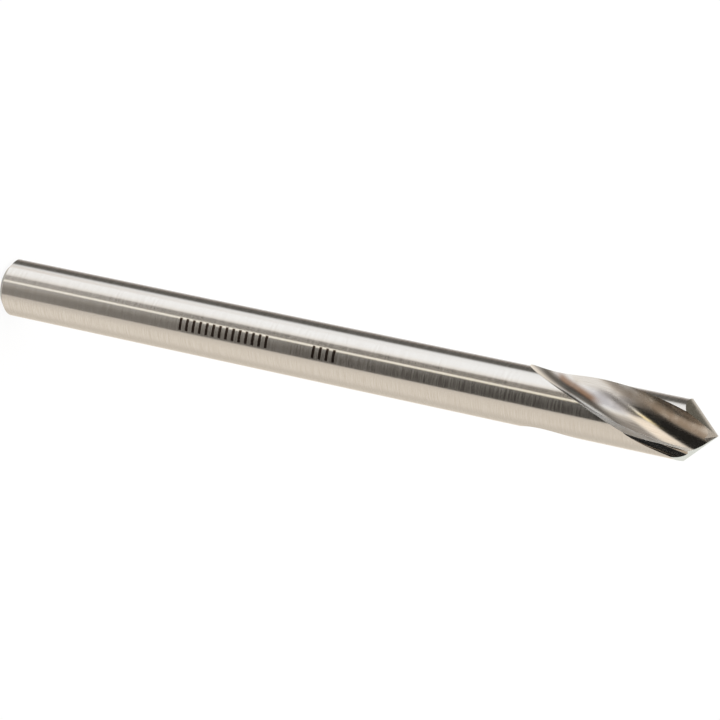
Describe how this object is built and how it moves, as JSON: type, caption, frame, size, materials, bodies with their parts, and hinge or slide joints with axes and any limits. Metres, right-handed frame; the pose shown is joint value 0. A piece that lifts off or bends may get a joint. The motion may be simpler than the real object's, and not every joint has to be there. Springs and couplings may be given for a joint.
{
  "type": "spotting drill",
  "caption": "Short solid twist-fluted drill with a plain round shank and a ground 90 degree point, for starting accurate holes.",
  "frame": {"origin": "centre of the flat end of the shank", "axes": "+Z along the drill's axis, from the shank end to the tip; +X along the first cutting lip, outwards"},
  "size_m": [0.004, 0.004, 0.052],
  "materials": {
    "ground_high_speed_steel": "bright ground high speed steel, fine grinding lines round the shank and along the flutes"
  },
  "bodies": {
    "root": {"spotting_drill": "ground_high_speed_steel"}
  },
  "joints": []
}
